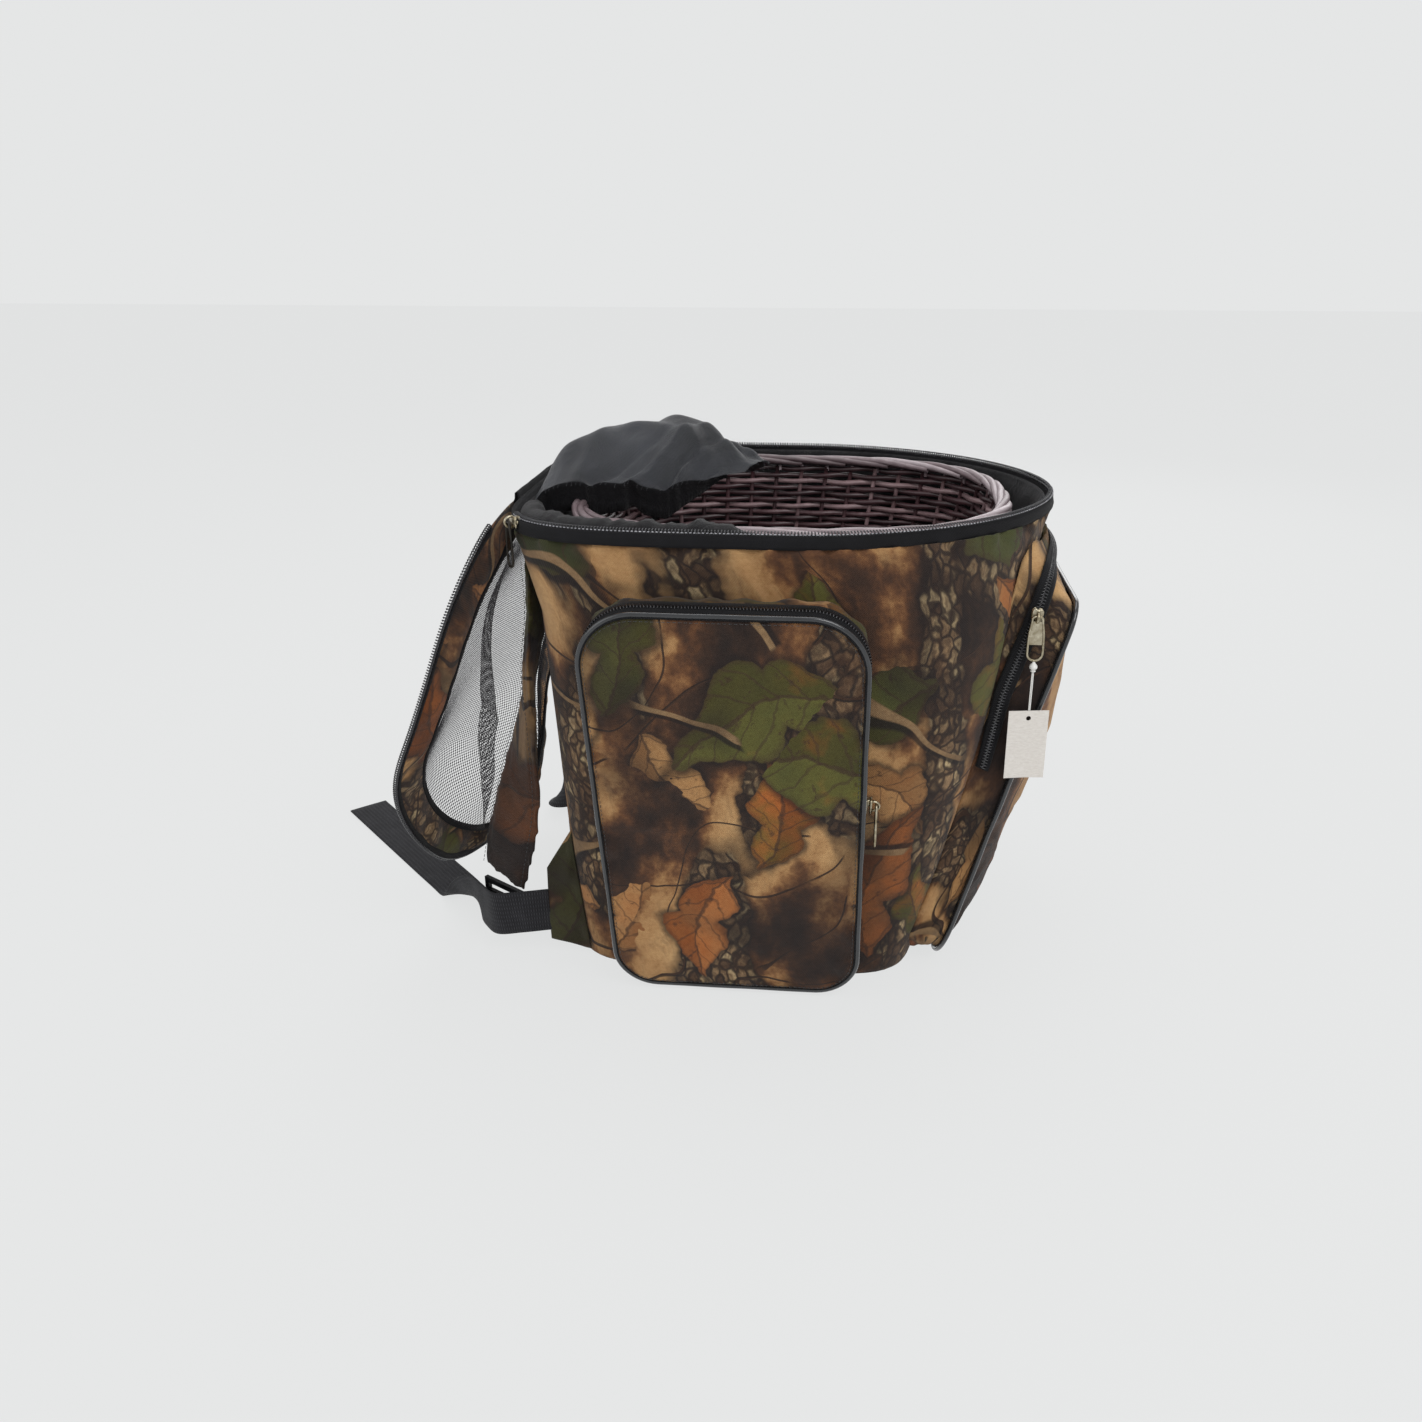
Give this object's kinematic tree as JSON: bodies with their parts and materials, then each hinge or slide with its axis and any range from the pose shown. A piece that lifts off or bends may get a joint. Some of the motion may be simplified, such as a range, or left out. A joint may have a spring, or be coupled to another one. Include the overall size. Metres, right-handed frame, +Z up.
{
  "type": "pack basket",
  "caption": "Soft oval backpack in printed cloth with a net lid hanging open, side and front zip pockets and padded straps, holding a removable woven wicker basket.",
  "frame": {"origin": "on the floor, on the underside of the bag's base panel", "axes": "+Z up, -Y towards the front pocket, +Y towards the shoulder straps, -X towards the left pocket"},
  "size_m": [0.4151, 0.6722, 0.4144],
  "materials": {
    "camo_cloth": "matte printed cloth",
    "black_webbing": "matte ribbed weave",
    "grey_nylon": "glossy coated nylon",
    "grey_piping": "glossy",
    "black_net": "matte mesh",
    "wicker": "satin stained rod",
    "zip_metal": "satin",
    "black_plastic": "satin",
    "tag_card": "matte card",
    "white_plastic": "satin"
  },
  "bodies": {
    "bag": {"bag_body": "camo_cloth", "back_panel": "camo_cloth", "left_strap_pad": "camo_cloth", "right_strap_pad": "camo_cloth", "left_anchor_tab": "camo_cloth", "right_anchor_tab": "camo_cloth", "left_pocket_panel": "camo_cloth", "left_pocket_gusset": "camo_cloth", "left_pocket_piping": "grey_piping", "left_pocket_zip": "black_plastic", "right_pocket_panel": "camo_cloth", "right_pocket_gusset": "camo_cloth", "right_pocket_piping": "grey_piping", "right_pocket_zip": "black_plastic", "front_pocket_panel": "camo_cloth", "front_pocket_gusset": "camo_cloth", "front_pocket_piping": "grey_piping", "front_pocket_zip": "black_plastic", "base_panel": "black_webbing", "mouth_tape": "black_webbing", "hinge_tape": "black_webbing", "haul_loop": "black_webbing", "left_webbing": "black_webbing", "right_webbing": "black_webbing", "bag_lining": "grey_nylon", "lining_flap": "grey_nylon", "mouth_zip_teeth": "black_plastic", "left_ladder_lock": "black_plastic", "right_ladder_lock": "black_plastic"},
    "lid": {"lid_band": "camo_cloth", "lid_binding": "black_webbing", "lid_net": "black_net", "lid_zip_teeth": "black_plastic"},
    "basket": {"basket_base": "wicker", "basket_wall": "wicker", "basket_border": "wicker"},
    "left_zip_slider": {"left_pocket_slider": "zip_metal"},
    "left_zip_pull": {"left_pocket_pull": "zip_metal"},
    "right_zip_slider": {"right_pocket_slider": "zip_metal"},
    "right_zip_pull": {"right_pocket_pull": "zip_metal"},
    "front_zip_slider": {"front_pocket_slider": "zip_metal"},
    "front_zip_pull": {"front_pocket_pull": "zip_metal", "tag_lock": "white_plastic", "tag_string": "white_plastic", "hang_tag": "tag_card"},
    "mouth_zip_slider": {"mouth_slider": "zip_metal"},
    "mouth_zip_pull": {"mouth_pull": "zip_metal"}
  },
  "joints": [
    {"name": "lid_hinge", "type": "hinge", "parent": "bag", "child": "lid", "pos_m": [0, 0.1642, 0.3764], "axis": [1, 0, 0], "range_deg": [0, 247], "deforming": ["lining_flap"]},
    {"name": "basket_lift", "type": "slide", "parent": "bag", "child": "basket", "axis": [0, 0, 1], "range_m": [0, 0.42]},
    {"name": "left_zip", "type": "slide", "parent": "bag", "child": "left_zip_slider", "axis": [-0.1304, 0, 0.9915], "range_m": [0, 0.095]},
    {"name": "left_pull_swing", "type": "hinge", "parent": "left_zip_slider", "child": "left_zip_pull", "pos_m": [-0.16642, -0.10938, 0.17377], "axis": [-1, 0, 0], "range_deg": [0, 120]},
    {"name": "right_zip", "type": "slide", "parent": "bag", "child": "right_zip_slider", "axis": [0.1304, 0, 0.9915], "range_m": [0, 0.095]},
    {"name": "right_pull_swing", "type": "hinge", "parent": "right_zip_slider", "child": "right_zip_pull", "pos_m": [0.16642, -0.10938, 0.17377], "axis": [-1, 0, 0], "range_deg": [0, 120]},
    {"name": "front_zip", "type": "slide", "parent": "bag", "child": "front_zip_slider", "axis": [0.0319, -0.1304, 0.9909], "range_m": [-0.06, 0]},
    {"name": "front_pull_swing", "type": "hinge", "parent": "front_zip_slider", "child": "front_zip_pull", "pos_m": [-0.11043, -0.21967, 0.29997], "axis": [-0.0042, 1, 0], "range_deg": [0, 120]},
    {"name": "mouth_zip", "type": "slide", "parent": "bag", "child": "mouth_zip_slider", "axis": [-0.8287, -0.5597, 0], "range_m": [0, 0.012]},
    {"name": "mouth_pull_swing", "type": "hinge", "parent": "mouth_zip_slider", "child": "mouth_zip_pull", "pos_m": [-0.142, 0.15265, 0.3692], "axis": [0.8287, 0.5597, 0], "range_deg": [0, 100]}
  ]
}
